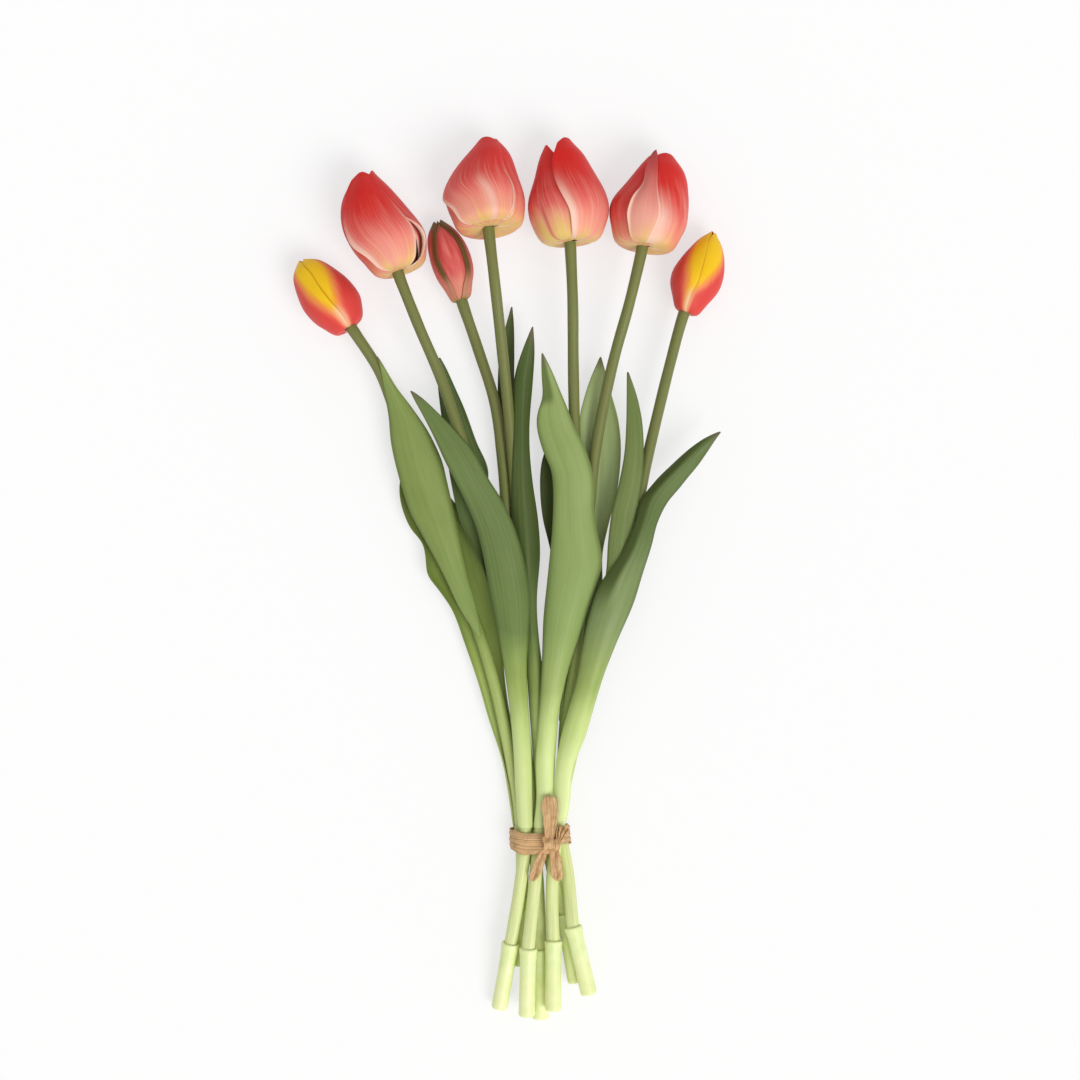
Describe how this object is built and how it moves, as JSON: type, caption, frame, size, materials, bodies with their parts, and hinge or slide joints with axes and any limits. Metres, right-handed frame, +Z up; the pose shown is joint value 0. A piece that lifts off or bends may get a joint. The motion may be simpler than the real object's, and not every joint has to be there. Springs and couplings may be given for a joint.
{
  "type": "artificial tulip bunch",
  "caption": "Hand-tied bunch of artificial tulips lying on its side, with open flowers, buds, clasping leaves and wired stems held by a raffia tie.",
  "frame": {"origin": "centre of the bounding box at the surface that the bunch lies on", "axes": "+Y along the bunch towards the flowers, +Z up from the surface, +X to the right seen from above with the flowers away"},
  "size_m": [0.2308, 0.4836, 0.0477],
  "materials": {
    "outer_petal": "soft moulded petal, red above and cream at the neck",
    "inner_petal": "soft moulded petal, deeper red",
    "half_open_bud": "soft moulded petal, yellow over red",
    "tight_bud": "soft moulded petal, pink with olive edges",
    "bud_foam": "white closed-cell foam",
    "leaf": "soft moulded leaf, satin",
    "stem": "soft moulded stem, satin",
    "foot": "pale green moulding, satin",
    "wire": "drawn steel wire",
    "raffia": "dry flat raffia"
  },
  "bodies": {
    "root": {"stem_1": "stem", "wire_1": "wire", "foot_1": "foot", "stem_2": "stem", "wire_2": "wire", "foot_2": "foot", "stem_3": "stem", "wire_3": "wire", "foot_3": "foot", "stem_4": "stem", "wire_4": "wire", "foot_4": "foot", "stem_5": "stem", "wire_5": "wire", "foot_5": "foot", "stem_6": "stem", "wire_6": "wire", "foot_6": "foot", "stem_7": "stem", "wire_7": "wire", "foot_7": "foot", "flower_2_front_petal": "outer_petal", "flower_2_left_petal": "outer_petal", "flower_2_right_petal": "outer_petal", "flower_2_inner_petals": "inner_petal", "flower_4_front_petal": "outer_petal", "flower_4_left_petal": "outer_petal", "flower_4_right_petal": "outer_petal", "flower_4_inner_petals": "inner_petal", "flower_5_front_petal": "outer_petal", "flower_5_left_petal": "outer_petal", "flower_5_right_petal": "outer_petal", "flower_5_inner_petals": "inner_petal", "flower_6_front_petal": "outer_petal", "flower_6_left_petal": "outer_petal", "flower_6_right_petal": "outer_petal", "flower_6_inner_petals": "inner_petal", "bud_1_petals": "half_open_bud", "bud_1_core": "bud_foam", "bud_3_petals": "tight_bud", "bud_3_core": "bud_foam", "bud_7_petals": "half_open_bud", "bud_7_core": "bud_foam", "leaf_1_front": "leaf", "leaf_1_sheath": "leaf", "leaf_2_front": "leaf", "leaf_2_back": "leaf", "leaf_3_back": "leaf", "leaf_4_front": "leaf", "leaf_5_front": "leaf", "leaf_5_back": "leaf", "leaf_6_back": "leaf", "leaf_7_inner": "leaf", "leaf_7_outer": "leaf", "raffia_band": "raffia", "raffia_knot": "raffia", "raffia_loop": "raffia", "raffia_tail_left": "raffia", "raffia_tail_right": "raffia"}
  },
  "joints": []
}
